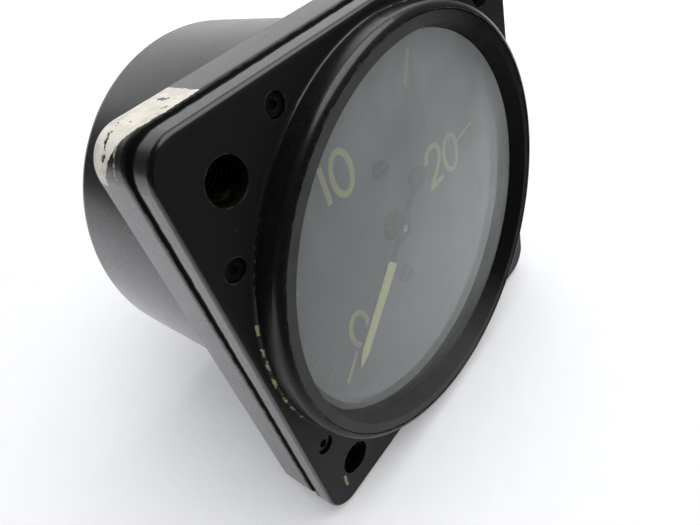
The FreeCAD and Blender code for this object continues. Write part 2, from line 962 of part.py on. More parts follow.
def make_hairspring_stud():
    reach = hairspring_outer_radius + 0.5 * hairspring_strip + close_fit + stud_radius
    x, z = at_bearing(stud_bearing, reach)
    return disc(stud_radius, hairspring_front, back_plate_front, x, z)


parts = {
    "rear_case": make_case,
    "bezel": make_bezel,
    "flange_gasket": make_flange_gasket,
    "mounting_inserts": make_mounting_inserts,
    "case_screws": make_case_screws,
    "glass": make_glass,
    "glass_gasket": make_glass_gasket,
    "glass_retaining_ring": make_retaining_ring,
    "dial_plate": make_dial,
    "dial_spacer_ring": make_dial_spacer,
    "dial_posts": make_dial_posts,
    "dial_screws": make_dial_screws,
    "pointer": make_pointer,
    "pointer_hub": make_pointer_hub,
    "pointer_cap": make_pointer_cap,
    "pinion_arbor": make_pinion_arbor,
    "pinion_gear": make_pinion,
    "hairspring_collet": make_collet,
    "hairspring": make_hairspring,
    "hairspring_stud": make_hairspring_stud,
    "sector_gear": make_sector,
    "sector_arbor": make_sector_arbor,
    "sector_pin": make_sector_pin,
    "link": make_link,
    "tip_pin": make_tip_pin,
    "tube_tip": make_tube_tip,
    "bourdon_tube": make_bourdon_tube,
    "pressure_socket": make_socket,
    "stem_seal": make_stem_seal,
    "stem_washer": make_stem_washer,
    "stem_nut": make_stem_nut,
    "movement_front_plate": make_front_plate,
    "movement_back_plate": make_back_plate,
    "movement_posts": make_movement_posts,
    "plate_screws": make_plate_screws,
    "movement_screws": make_movement_screws,
}

os.makedirs("parts", exist_ok=True)
for name, make in parts.items():
    shape = make()
    shape.exportStep(os.path.join("parts", name + ".step"))
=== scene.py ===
# %% [markdown]
# # A small pressure indicator with a moulded black case
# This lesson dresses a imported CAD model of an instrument: a square moulded flange with a raised
# ring, a hazy glass, a black dial with painted numbers and a luminous pointer, and a round case
# behind. The CAD model is loaded first and never moved. Everything that is added sits on it.

# %% Load the frame
import json
import math

import bmesh
import bpy
from mathutils import Matrix, Vector


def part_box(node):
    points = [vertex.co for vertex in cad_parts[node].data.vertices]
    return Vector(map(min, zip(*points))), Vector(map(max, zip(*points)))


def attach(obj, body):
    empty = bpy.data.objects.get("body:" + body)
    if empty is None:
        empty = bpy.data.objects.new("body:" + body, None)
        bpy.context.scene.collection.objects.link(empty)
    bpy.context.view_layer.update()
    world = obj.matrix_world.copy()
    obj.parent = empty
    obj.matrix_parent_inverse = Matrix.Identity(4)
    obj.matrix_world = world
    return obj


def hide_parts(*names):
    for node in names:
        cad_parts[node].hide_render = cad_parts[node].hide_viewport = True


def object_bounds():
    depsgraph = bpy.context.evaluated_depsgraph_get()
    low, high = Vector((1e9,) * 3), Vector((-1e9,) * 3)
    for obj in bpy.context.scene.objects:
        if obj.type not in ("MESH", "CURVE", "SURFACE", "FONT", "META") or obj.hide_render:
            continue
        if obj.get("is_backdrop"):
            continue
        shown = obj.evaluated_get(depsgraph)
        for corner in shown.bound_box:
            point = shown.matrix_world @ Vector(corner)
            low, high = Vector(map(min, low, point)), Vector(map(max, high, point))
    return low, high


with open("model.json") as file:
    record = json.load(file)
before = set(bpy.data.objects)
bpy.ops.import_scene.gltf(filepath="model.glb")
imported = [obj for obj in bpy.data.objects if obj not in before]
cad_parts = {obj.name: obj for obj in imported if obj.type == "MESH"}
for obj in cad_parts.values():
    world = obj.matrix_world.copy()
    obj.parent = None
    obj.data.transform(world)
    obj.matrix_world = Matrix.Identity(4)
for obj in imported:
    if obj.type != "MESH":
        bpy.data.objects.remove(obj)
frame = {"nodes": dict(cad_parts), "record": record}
nodes = frame["nodes"]
cad_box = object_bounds()
mm = 0.001
print("nodes in the frame:", len(nodes))

# %% [markdown]
# The frame already knows most sizes. The record's mounts give the ring's radius, the spacing of
# the holes and the radius of the port, and the boxes of the nodes give the depths. Reading them
# from there keeps this script true when the model changes.

# %% Sizes from the frame
mounts = {mount["name"]: mount["dims"] for mount in frame["record"]["mounts"]}
ring_radius = mounts["bezel_collar"]["r_mm"] * mm
port_radius = mounts["pressure_port"]["r_mm"] * mm
hole_offset = 0.5 * mounts["panel_bolts"]["spacing_x_mm"] * mm
half_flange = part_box("bezel")[1].x
dial_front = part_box("dial_plate")[0].y
print("flange half width, mm:", round(half_flange / mm, 2))
print("dial front, mm:", round(dial_front / mm, 2))

# %% [markdown]
# ## Helpers for materials
# A material is a small tree of nodes. One function adds a node, sets it up and links it, so each
# material below reads as a list of its layers. Colours are written as on a paint chart, in hex,
# and turned to the linear values that the renderer counts in.

# %% Colours and nodes
def linear(hex_colour):
    """An sRGB hex colour as the linear colour with alpha that a socket takes."""
    channels = [int(hex_colour[i : i + 2], 16) / 255.0 for i in (1, 3, 5)]
    curve = [c / 12.92 if c <= 0.04045 else ((c + 0.055) / 1.055) ** 2.4 for c in channels]
    return (*curve, 1.0)


def add(material, kind, settings=None, links=None):
    """Adds one node: settings are its properties and sockets, links say what feeds its sockets."""
    node = material.node_tree.nodes.new(kind)
    for name, value in (settings or {}).items():
        if hasattr(node, str(name)):
            setattr(node, name, value)
    for name, value in (settings or {}).items():
        if not hasattr(node, str(name)):
            node.inputs[name].default_value = value
    for name, source in (links or {}).items():
        material.node_tree.links.new(source, node.inputs[name])
    return node


def new_material(name):
    """An empty node material with its output and one Principled shader, and its coordinates."""
    material = bpy.data.materials.new(name)
    material.use_nodes = True
    material.node_tree.nodes.clear()
    shader = add(material, "ShaderNodeBsdfPrincipled")
    output = add(material, "ShaderNodeOutputMaterial", None, {"Surface": shader.outputs["BSDF"]})
    place = add(material, "ShaderNodeTexCoord").outputs["Object"]
    return material, shader, place, output


def connect(material, source, shader, socket):
    """Links one output to a socket of a shader that is already there."""
    material.node_tree.links.new(source, shader.inputs[socket])


# %% [markdown]
# Most finishes need the same three things: a cloudy pattern of a known size, that pattern cut to
# a mask, and a mix of two colours by a mask. Sizes are given in millimetres, because a noise
# texture on Object coordinates repeats about once in 1 / scale metres.

# %% Patterns that finishes share
def cloud(material, place, size_mm, detail=4.0, roughness=0.55, stretch=(1.0, 1.0, 1.0)):
    """A soft noise whose blobs are about size_mm across, from 0 to 1."""
    mapped = add(material, "ShaderNodeMapping", {"Scale": stretch}, {"Vector": place})
    noise = add(
        material,
        "ShaderNodeTexNoise",
        {"Scale": 1.0 / (size_mm * mm), "Detail": detail, "Roughness": roughness},
        {"Vector": mapped.outputs["Vector"]},
    )
    return noise.outputs["Fac"]


def cut(material, source, low, high, to_low=0.0, to_high=1.0):
    """Stretches the values from low to high over to_low to to_high, and clips the rest."""
    settings = {"From Min": low, "From Max": high, "To Min": to_low, "To Max": to_high}
    return add(material, "ShaderNodeMapRange", settings, {"Value": source}).outputs["Result"]


def blend_colours(material, mask, dark, light):
    """Goes from one colour to another by a mask; each is a hex colour or a node's output."""
    mixed = add(material, "ShaderNodeMix", {"data_type": "RGBA"}, {0: mask})
    for socket, colour in ((6, dark), (7, light)):
        if isinstance(colour, str):
            mixed.inputs[socket].default_value = linear(colour)
        else:
            material.node_tree.links.new(colour, mixed.inputs[socket])
    return mixed.outputs[2]


def combine(material, operation, first, second):
    """One step of arithmetic on two masks, or on a mask and a number."""
    step = add(material, "ShaderNodeMath", {"operation": operation, "use_clamp": True}, {0: first})
    if isinstance(second, float):
        step.inputs[1].default_value = second
    else:
        material.node_tree.links.new(second, step.inputs[1])
    return step.outputs[0]


def relief(material, height, depth_mm, below=None, strength=1.0):
    """A bump whose full height is depth_mm, on top of another bump if one is given."""
    links = {"Height": height}
    if below is not None:
        links["Normal"] = below
    settings = {"Strength": strength, "Distance": depth_mm * mm}
    return add(material, "ShaderNodeBump", settings, links).outputs["Normal"]


def edge_wear_and_glint_mask(material, place, width_mm, grain_mm):
    """A mask of outer edges, for wear and painted glints: the rounded normal leaves the true one
    there.
    """
    true = add(material, "ShaderNodeNewGeometry").outputs["Normal"]
    rounded = add(material, "ShaderNodeBevel", {"samples": 8, "Radius": width_mm * mm})
    dot = add(
        material,
        "ShaderNodeVectorMath",
        {"operation": "DOT_PRODUCT"},
        {0: true, 1: rounded.outputs["Normal"]},
    )
    edge = cut(material, dot.outputs["Value"], 0.995, 0.86)
    patches = cut(material, cloud(material, place, grain_mm, 6.0, 0.7), 0.47, 0.6)
    return combine(material, "MULTIPLY", edge, patches)


# %% [markdown]
# ## Places on the mouldings
# Wear, dirt and old paint sit at certain places, not everywhere. A place is written as a range of
# one coordinate, or of the distance from the gauge's axis. Jagged coordinates are the true ones
# pushed about by noise, so that a range cut on them has the torn border of chipped paint.

# %% Ranges and jagged borders
def jagged(material, place, size_mm, amount_mm, detail=5.0):
    """The coordinates, each pushed by noise up to about amount_mm either way."""
    settings = {"Scale": 1.0 / (size_mm * mm), "Detail": detail, "Roughness": 0.65}
    noise = add(material, "ShaderNodeTexNoise", settings, {"Vector": place}).outputs["Color"]
    middle = {"operation": "SUBTRACT", 1: (0.5, 0.5, 0.5)}
    centred = add(material, "ShaderNodeVectorMath", middle, {0: noise})
    push = {"operation": "MULTIPLY_ADD", 1: (2.0 * amount_mm * mm,) * 3}
    links = {0: centred.outputs[0], 2: place}
    return add(material, "ShaderNodeVectorMath", push, links).outputs[0]


def split(material, place):
    """The x, y and z of a place, and its distance from the gauge's axis."""
    axes = add(material, "ShaderNodeSeparateXYZ", None, {"Vector": place})
    flat = add(material, "ShaderNodeMapping", {"Scale": (1.0, 0.0, 1.0)}, {"Vector": place})
    links = {0: flat.outputs["Vector"]}
    length = add(material, "ShaderNodeVectorMath", {"operation": "LENGTH"}, links)
    return axes.outputs[0], axes.outputs[1], axes.outputs[2], length.outputs["Value"]


def span(material, value, low_mm, high_mm, soft_mm=0.08):
    """A mask that is 1 from low to high along one value, with soft ends."""
    above = cut(material, value, (low_mm - soft_mm) * mm, low_mm * mm)
    below = cut(material, value, high_mm * mm, (high_mm + soft_mm) * mm, 1.0, 0.0)
    return combine(material, "MULTIPLY", above, below)


def overlap(material, *masks):
    """Where all the masks meet."""
    joined = masks[0]
    for mask in masks[1:]:
        joined = combine(material, "MULTIPLY", joined, mask)
    return joined


# %% [markdown]
# ## Moulded phenolic
# The case and the flange are black phenolic plastic, pressed in a polished mould. It is hard,
# nearly black and glossy at a glancing angle. The flange's front face was rubbed down to a satin
# so that it doesn't shine at the reader, and the gloss elsewhere is a clear coat laid over that
# satin by a mask. Fine scratches and dull dust show years of use, and one corner of the case keeps
# a patch of old cream paint. A band along the joint of the two mouldings is painted near black, a
# painted shade of the gap between them.

# %% The paint patch and the phenolic
def along_corner(material, x, z):
    """Half of x + z, which falls steadily on the way round the upper left corner."""
    added = add(material, "ShaderNodeMath", {"operation": "ADD"}, {0: x, 1: z}).outputs[0]
    return add(material, "ShaderNodeMath", {"operation": "MULTIPLY", 1: 0.5}, {0: added}).outputs[0]


def paint_patch(material, place):
    """A mask of the old paint on the upper left corner of the case, with a few chips in it."""
    x, y, z, _ = split(material, jagged(material, place, 2.0, 0.45))
    half = along_corner(material, x, z)
    right_end, lower_end, front_line, back_edge = -19.7, -2.1, 6.3, 9.4
    tilt = {"operation": "MULTIPLY_ADD", 1: 0.9}
    sloped = add(material, "ShaderNodeMath", tilt, {0: half, 2: y}).outputs[0]
    _, true_y, _, _ = split(material, place)
    corner = overlap(
        material,
        span(material, x, -40.0, right_end),
        span(material, sloped, front_line, 90.0),
        span(material, half, lower_end, 60.0),
        span(material, y, 4.55, 20.0),
        span(material, true_y, 0.0, back_edge),
    )
    chips = cut(material, cloud(material, place, 1.5, 3.0, 0.6), 0.365, 0.38)
    thin_x, thin_y, thin_z, _ = split(material, jagged(material, place, 0.9, 0.25))
    thin = along_corner(material, thin_x, thin_z)
    dribble = overlap(
        material,
        span(material, thin_x, -40.0, -26.0),
        span(material, thin_y, 5.75, 6.0),
        span(material, thin, -1.6, 0.7),
        cut(material, cloud(material, place, 1.1, 3.0), 0.46, 0.6, 0.0, 0.5),
    )
    return combine(material, "MAXIMUM", combine(material, "MULTIPLY", corner, chips), dribble)


def foot_specks(material, place):
    """A mask of old paint at the foot of the ring, and of a drip by the lower left hole."""
    x, y, z, radius = split(material, jagged(material, place, 0.8, 0.2))
    band = overlap(
        material,
        span(material, radius, 28.9, 29.1),
        span(material, y, -0.3, 0.2),
        span(material, x, -40.0, -25.5),
        span(material, z, -7.5, 11.0),
    )
    flecks = cut(material, cloud(material, place, 1.3, 2.0), 0.52, 0.56)
    dashes = combine(material, "MULTIPLY", band, flecks)
    to_hole = {"Location": (hole_offset, 0.0, hole_offset)}
    beside = add(material, "ShaderNodeMapping", to_hole, {"Vector": place}).outputs["Vector"]
    hole_x, hole_y, hole_z, _ = split(material, jagged(material, beside, 1.6, 0.4))
    drip = overlap(
        material,
        span(material, hole_x, -3.15, -2.75),
        span(material, hole_z, -2.9, -0.7),
        span(material, hole_y, -1.0, 1.0),
    )
    return combine(material, "MAXIMUM", dashes, drip)


def phenolic(name, left_paint, paint_colours):
    """Black phenolic moulding: satin front, gloss elsewhere, and the paint that is left on it."""
    material, shader, place, _ = new_material(name)
    _, y, z, radius = split(material, place)
    front = overlap(
        material, span(material, y, -0.1, 0.1), span(material, radius, ring_radius / mm, 60.0)
    )
    ring_side = overlap(
        material, span(material, y, -9.0, -0.1), span(material, radius, 0.0, ring_radius / mm + 0.4)
    )
    dust = cut(material, cloud(material, place, 8.0, 5.0), 0.40, 0.72)
    fine_dust = cut(material, cloud(material, place, 0.8, 4.0, 0.7), 0.45, 0.65)
    settled = combine(material, "MULTIPLY", dust, fine_dust)
    side_dust = combine(material, "MULTIPLY", settled, cut(material, front, 0.0, 1.0, 0.8, 0.3))
    satin = blend_colours(material, front, "#0d0d0d", "#1f1f1f")
    black = blend_colours(material, side_dust, satin, "#222120")
    # Partly painted glint: the outer edges go a lighter grey. This is wear, and it also stands in
    # for light caught on the rims of the holes and counterbores.
    edge_wear_and_glint = edge_wear_and_glint_mask(material, place, 0.35, 1.6)
    with_lit_edges = blend_colours(material, edge_wear_and_glint, black, "#45443f")
    speck = cut(material, cloud(material, place, 0.55, 2.0), 0.765, 0.78)
    specked = blend_colours(material, speck, with_lit_edges, "#6f6d63")
    # Painted shade: a jagged band beside the joint of the two mouldings is turned near black, for
    # the shade of the gap.
    _, joint_y, _, joint_radius = split(material, jagged(material, place, 1.4, 0.3))
    joint = overlap(
        material, span(material, joint_y, 2.66, 4.2, 0.3), span(material, joint_radius, 29.4, 60.0)
    )
    painted_joint_shade = blend_colours(material, joint, specked, "#050505")
    painted = left_paint(material, place)
    grime = cut(material, cloud(material, place, 2.4, 6.0, 0.7), 0.42, 0.7)
    cream = blend_colours(material, grime, *paint_colours)
    connect(material, blend_colours(material, painted, painted_joint_shade, cream), shader, "Base Color")
    matt = combine(material, "MAXIMUM", painted, joint)
    smear = cut(material, cloud(material, place, 5.0, 4.0), 0.3, 0.7, 0.38, 0.46)
    rough = combine(material, "MAXIMUM", smear, cut(material, matt, 0.0, 1.0, 0.0, 0.8))
    connect(material, rough, shader, "Roughness")
    covered = combine(material, "MAXIMUM", matt, front)
    handled = cut(material, z, 16.0 * mm, 6.0 * mm, 0.0, 0.8)
    covered = combine(material, "MAXIMUM", covered, overlap(material, ring_side, handled))
    dulled = combine(material, "MAXIMUM", covered, cut(material, settled, 0.0, 1.0, 0.0, 0.25))
    connect(material, cut(material, dulled, 0.0, 1.0, 1.0, 0.0), shader, "Coat Weight")
    scratch = cut(material, cloud(material, place, 0.35, 2.0, 0.5, (1.0, 1.0, 0.06)), 0.62, 0.72)
    scratched = relief(material, scratch, -0.008)
    skin = relief(material, cloud(material, place, 1.6, 3.0), 0.012, scratched, 0.5)
    connect(material, relief(material, painted, 0.1, skin), shader, "Normal")
    shader.inputs["Specular IOR Level"].default_value = 0.08
    shader.inputs["IOR"].default_value = 1.6
    shader.inputs["Coat Roughness"].default_value = 0.25
    shader.inputs["Coat IOR"].default_value = 1.6
    return material


phenolic_case = phenolic("phenolic_moulding_case", paint_patch, ("#f6f0e4", "#cfcabb"))
phenolic_flange = phenolic("phenolic_moulding_flange", foot_specks, ("#a9a57c", "#7a775c"))
print("made the two phenolic finishes")

# %% [markdown]
# ## Metals, rubber and paint on the fittings
# Small fittings are plain engineering finishes. Black paint on steel is a thin satin coat that
# chips to bare metal on its edges. Cadmium plate is a soft grey with yellow in it. Turned brass
# shows fine rings from the lathe and goes brown where nobody polishes it. Neoprene is a dead
# black with a grey bloom.

# %% Metals and coats
def coated(name, base, cloudy, bare, roughness, metallic, worn=0.35, grain_mm=0.5):
    """A satin or metal coat with cloudy tone, fine grain and edges in another colour, for wear and
    painted glints.
    """
    material, shader, place, _ = new_material(name)
    tone = cut(material, cloud(material, place, 3.0, 5.0), 0.3, 0.7)
    colour = blend_colours(material, tone, base, cloudy)
    edge_wear_and_glint = edge_wear_and_glint_mask(material, place, worn, 0.8)
    connect(material, blend_colours(material, edge_wear_and_glint, colour, bare), shader, "Base Color")
    gloss = cloud(material, place, 1.5, 4.0)
    rough = cut(material, gloss, 0.3, 0.7, roughness - 0.08, roughness + 0.1)
    connect(material, rough, shader, "Roughness")
    grain = relief(material, cloud(material, place, grain_mm, 3.0), 0.01)
    connect(material, grain, shader, "Normal")
    shader.inputs["Metallic"].default_value = metallic
    return material


def turned(name, bright, brown, roughness, groove_mm=0.16):
    """Lathe-turned metal: fine rings round the gauge axis, and a tarnish in clouds."""
    material, shader, place, _ = new_material(name)
    tone = cut(material, cloud(material, place, 4.0, 6.0, 0.65), 0.35, 0.68)
    connect(material, blend_colours(material, tone, bright, brown), shader, "Base Color")
    rings = add(
        material,
        "ShaderNodeTexWave",
        {
            "wave_type": "RINGS",
            "rings_direction": "SPHERICAL",
            "Scale": 1.0 / (groove_mm * mm * 6.28),
            "Distortion": 0.6,
            "Detail": 2.0,
        },
        {"Vector": place},
    )
    rough = cut(material, rings.outputs["Fac"], 0.0, 1.0, roughness, roughness + 0.1)
    connect(material, rough, shader, "Roughness")
    connect(material, relief(material, rings.outputs["Fac"], 0.004), shader, "Normal")
    shader.inputs["Metallic"].default_value = 1.0
    return material


anodised_grey = coated("black_anodised_aluminium", "#3c3d3b", "#474844", "#55554f", 0.66, 0.0, 0.2)
black_paint = coated("black_oxide_steel", "#080808", "#0f0f0f", "#4c4a44", 0.5, 0.0, 0.1)
cadmium_plate = coated("cadmium_plated_steel", "#a9a692", "#8d8a76", "#c8c6ba", 0.38, 1.0)
# Painted shade and glint: the inserts' plate is painted near black for the shade deep in their
# holes, and its edges light olive, a painted glint on the rims.
insert_plate_in_painted_shade = coated("yellow_chromate_brass_painted_shade", "#1d1b12", "#121109", "#8f8a5c", 0.55, 1.0, 0.12)
bright_steel = coated("polished_arbor_steel", "#b7b8ba", "#9a9b9e", "#dadada", 0.22, 1.0, 0.1)
clock_brass = turned("lacquered_clock_brass", "#cdb072", "#a5884f", 0.24)
turned_brass = turned("turned_brass_tarnished", "#b59a5c", "#6f5a36", 0.3)
plate_brass = coated("lacquered_brass_plate", "#7a6a45", "#66583a", "#a89460", 0.42, 1.0)
spring_bronze = turned("phosphor_bronze", "#b9805a", "#8a5a3e", 0.3)
neoprene = coated("neoprene_rubber", "#141414", "#1c1c1a", "#242321", 0.9, 0.0, 0.3, 0.3)
neoprene.node_tree.nodes["Principled BSDF"].inputs["Specular IOR Level"].default_value = 0.15
print("made the metals and coats")

# %% [markdown]
# The ring that holds the glass is painted darker on its right side than on its left: a painted
# shade on the right of the ring. Its material is ready, so the colour that feeds the shader is
# taken and blended to black along x.

# %% Painted shade on the right of the glass ring
shade_starts_at, shade_full_at = 4.0 * mm, 16.0 * mm
ring_shader = anodised_grey.node_tree.nodes["Principled BSDF"]
ring_grey = ring_shader.inputs["Base Color"].links[0].from_socket
ring_place = add(anodised_grey, "ShaderNodeTexCoord").outputs["Object"]
# Painted shade: the ring's grey goes to black from x = 4 mm, fully black from 16 mm.
painted_shade_right = cut(anodised_grey, split(anodised_grey, ring_place)[0], shade_starts_at, shade_full_at)
grey_and_painted_shade = blend_colours(anodised_grey, painted_shade_right, ring_grey, "#0b0b0c")
connect(anodised_grey, grey_and_painted_shade, ring_shader, "Base Color")
ring_shader.inputs["Specular IOR Level"].default_value = 0.2
print("blackened the ring from x, mm:", round(shade_starts_at / mm, 1))

# %% [markdown]
# ## Dial paint and luminous paint
# The dial is a flat black enamel. The numbers, marks and the pointer's blade carry a thick cream
# paint that once glowed. It has yellowed, it is slightly green, and it stands up from the plate
# with a soft edge, so it gets its own raised pieces further down.

# %% Dial finishes
def dial_paint(name, base, cloudy, roughness, grain_mm):
    """A matt paint whose tone drifts in clouds, with a fine grain in its gloss."""
    material, shader, place, _ = new_material(name)
    tone = cut(material, cloud(material, place, 5.0, 5.0), 0.35, 0.7)
    fine = cut(material, cloud(material, place, grain_mm, 3.0), 0.3, 0.75)
    both = combine(material, "MULTIPLY", tone, fine)
    connect(material, blend_colours(material, both, base, cloudy), shader, "Base Color")
    rough = cut(material, fine, 0.0, 1.0, roughness - 0.1, roughness)
    connect(material, rough, shader, "Roughness")
    shader.inputs["Specular IOR Level"].default_value = 0.2
    return material


dial_enamel = dial_paint("matt_black_enamel", "#4b4f4e", "#575b5a", 0.85, 0.4)
luminous_cream = dial_paint("luminous_paint_cream", "#a8a468", "#95915a", 0.8, 0.35)
luminous_blade = dial_paint("luminous_paint_blade", "#c4bf80", "#aba568", 0.8, 0.35)
faded_mark = dial_paint("luminous_paint_faded", "#6a6b55", "#5b5d50", 0.85, 0.3)
dark_steel = dial_paint("blackened_steel", "#1c1d1d", "#2b2d2d", 0.6, 0.3)
print("made the dial finishes")

# %% [markdown]
# ## Hazy glass
# Old glass carries a film: dust and grease scatter a little light, so the black dial behind looks
# grey. The film is a thin layer of white scattering on the front face of clear glass, denser in
# blotches. Towards the upper right it is made denser still, a painted reflection of the brighter
# room on that side. Light that only crosses the glass on its way to the dial is let straight
# through, because a renderer can't aim shadows through real refraction.

# %% The glass
glass_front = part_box("glass")[0].y


def hazy_glass(name):
    """Clear glass under a blotchy film of dust, brightened towards the upper right as a painted
    reflection.
    """
    material, shader, place, output = new_material(name)
    shader.inputs["Base Color"].default_value = linear("#f4f7f8")
    shader.inputs["Transmission Weight"].default_value = 1.0
    shader.inputs["Roughness"].default_value = 0.02
    shader.inputs["IOR"].default_value = 1.52
    film = add(material, "ShaderNodeBsdfDiffuse", {"Color": linear("#f0f4f2"), "Roughness": 0.5})
    blotches = cut(material, cloud(material, place, 11.0, 2.0), 0.3, 0.75, 0.19, 0.25)
    runs = cloud(material, place, 3.0, 1.0, 0.5, (1.0, 1.0, 0.3))
    streaks = cut(material, runs, 0.45, 0.8, 0.0, 0.025)
    film_share = combine(material, "ADD", blotches, streaks)
    x, y, z, _ = split(material, place)
    # Painted reflection: the film's share grows from 0.3 to 1.45 times, from the lower left to the
    # upper right.
    rising = add(material, "ShaderNodeMath", {"operation": "ADD"}, {0: x, 1: z}).outputs[0]
    painted_reflection_share = cut(material, rising, -34.0 * mm, 34.0 * mm, 0.3, 1.45)
    outside = cut(material, y, glass_front + 0.05 * mm, glass_front + 0.1 * mm, 1.0, 0.0)
    film_share = overlap(material, film_share, painted_reflection_share, outside)
    dusty = add(
        material,
        "ShaderNodeMixShader",
        None,
        {0: film_share, 1: shader.outputs["BSDF"], 2: film.outputs["BSDF"]},
    )
    shadow = add(material, "ShaderNodeLightPath").outputs["Is Shadow Ray"]
    diffuse = add(material, "ShaderNodeLightPath").outputs["Is Diffuse Ray"]
    passing = combine(material, "MAXIMUM", shadow, diffuse)
    clear = add(material, "ShaderNodeBsdfTransparent", {"Color": linear("#eef1f1")})
    links = {0: passing, 1: dusty.outputs["Shader"], 2: clear.outputs["BSDF"]}
    mixed = add(material, "ShaderNodeMixShader", None, links)
    material.node_tree.links.new(mixed.outputs["Shader"], output.inputs["Surface"])
    return material


window_glass = hazy_glass("window_glass_hazy")
print("made the glass")

# %% [markdown]
# ## Dressing the CAD nodes
# The nodes of the frame keep their shape. Each takes the finish of the real part, by name.

# %% Finishes of the nodes
finishes = {
    "bezel": phenolic_flange,
    "flange_gasket": neoprene,
    "mounting_inserts": insert_plate_in_painted_shade,
    "case_screws": black_paint,
    "glass": window_glass,
    "glass_gasket": neoprene,
    "glass_retaining_ring": anodised_grey,
    "dial_plate": dial_enamel,
    "dial_spacer_ring": dial_enamel,
    "dial_posts": clock_brass,
    "dial_screws": black_paint,
    "pointer": dark_steel,
    "pointer_hub": dark_steel,
    "pointer_cap": dark_steel,
    "pinion_arbor": bright_steel,
    "pinion_gear": clock_brass,
    "hairspring_collet": clock_brass,
    "hairspring": spring_bronze,
    "hairspring_stud": clock_brass,
    "sector_gear": clock_brass,
    "sector_arbor": bright_steel,
    "sector_pin": bright_steel,
    "link": bright_steel,
    "tip_pin": bright_steel,
    "tube_tip": turned_brass,
    "bourdon_tube": spring_bronze,
    "pressure_socket": turned_brass,
    "stem_seal": neoprene,
    "stem_washer": cadmium_plate,
    "stem_nut": turned_brass,
    "movement_front_plate": plate_brass,
    "movement_back_plate": plate_brass,
    "movement_posts": clock_brass,
    "plate_screws": cadmium_plate,
    "movement_screws": cadmium_plate,
}
for node_name, finish in finishes.items():
    nodes[node_name].data.materials.clear()
    nodes[node_name].data.materials.append(finish)
print("nodes dressed:", len(finishes))

# %% [markdown]
# ## Helpers for new pieces
# A new piece starts as a bmesh, which is Blender's editable mesh. The last step turns it into an
# object at the origin, smooth where the faces meet gently and sharp elsewhere, and lets it ride
# on the body that carries it.

# %% From a bmesh to a piece
sharp_from = math.radians(35.0)


def make_piece(name, shape, finish, body, replaced=()):
    """Finishes a bmesh as an object that rides on a body and stands for the nodes it replaces."""
    bmesh.ops.remove_doubles(shape, verts=shape.verts, dist=0.001 * mm)
    mesh = bpy.data.meshes.new(name)
    shape.to_mesh(mesh)
    shape.free()
    mesh.materials.append(finish)
    mesh.polygons.foreach_set("use_smooth", [True] * len(mesh.polygons))
    mesh.set_sharp_from_angle(angle=sharp_from)
    piece = bpy.data.objects.new(name, mesh)
    bpy.context.scene.collection.objects.link(piece)
    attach(piece, body)
    if replaced:
        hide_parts(*replaced)
    print(name, "faces:", len(mesh.polygons))
    return piece


# %% [markdown]
# ## The case with its rounded front edge
# The front edge of the case's flange has been rounded by the mould and by handling, which leaves a
# dark groove beside the bezel. The machine model has only a small chamfer there. A merged copy of
# the node is cut by planes at a few depths, and the cut rings are drawn in along a quarter circle,
# each towards the corner's own centre, so that straight sides and corners shrink alike. A Weighted
# Normal modifier then lets the large flat faces set the shading at their borders.

# %% Round the front edge of the case
def merged_copy(node_name):
    """The node's mesh as a bmesh with its loose triangles joined."""
    shape = bmesh.new()
    shape.from_mesh(nodes[node_name].data)
    bmesh.ops.remove_doubles(shape, verts=shape.verts, dist=0.001 * mm)
    return shape


def slice_across(shape, depths):
    """Cuts rings of edges into the shape where planes across the axis meet it."""
    for depth in depths:
        bmesh.ops.bisect_plane(
            shape,
            geom=shape.verts[:] + shape.edges[:] + shape.faces[:],
            dist=0.001 * mm,
            plane_co=(0.0, depth, 0.0),
            plane_no=(0.0, 1.0, 0.0),
        )


case_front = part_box("rear_case")[0].y
edge_round = 1.6 * mm
corner_round = 4.0 * mm
corner_core = half_flange - corner_round
case_shape = merged_copy("rear_case")
slice_across(case_shape, [case_front + share * edge_round for share in (0.12, 0.28, 0.5, 0.75, 1.0)])
for vert in case_shape.verts:
    core = Vector((
        max(-corner_core, min(corner_core, vert.co.x)),
        vert.co.y,
        max(-corner_core, min(corner_core, vert.co.z)),
    ))
    outward = vert.co - core
    left = edge_round - (vert.co.y - case_front)
    if outward.length > corner_round - 0.5 * mm and left > 0.0:
        inset = edge_round - math.sqrt(edge_round ** 2 - left ** 2)
        vert.co = core + outward.normalized() * (corner_round - inset)
case = make_piece(
    "case_moulding", case_shape, phenolic_case, "housing", ["rear_case"]
)
steady = case.modifiers.new("steady_normals", "WEIGHTED_NORMAL")
steady.keep_sharp = True

# %% [markdown]
# ## Numbers and marks
# The scale runs clockwise from lower left over three quarters of a turn. Long marks stand at
# every fifth unit and short ones between, and only 0, 10 and 20 are numbered. Paint laid through
# a stencil has a rounded section, so each stroke is a curve with a round bevel that is made a
# mesh and pressed nearly flat onto the dial.

# %% Strokes of paint
scale_start = -133.0
scale_sweep = 268.0
units = 25
paint_height = 0.09 * mm


def on_dial(bearing, radius, lift=0.0):
    """A point of the dial by its bearing, clockwise from the top, and its radius."""
    angle = math.radians(bearing)
    return Vector((radius * math.sin(angle), dial_front - lift, radius * math.cos(angle)))


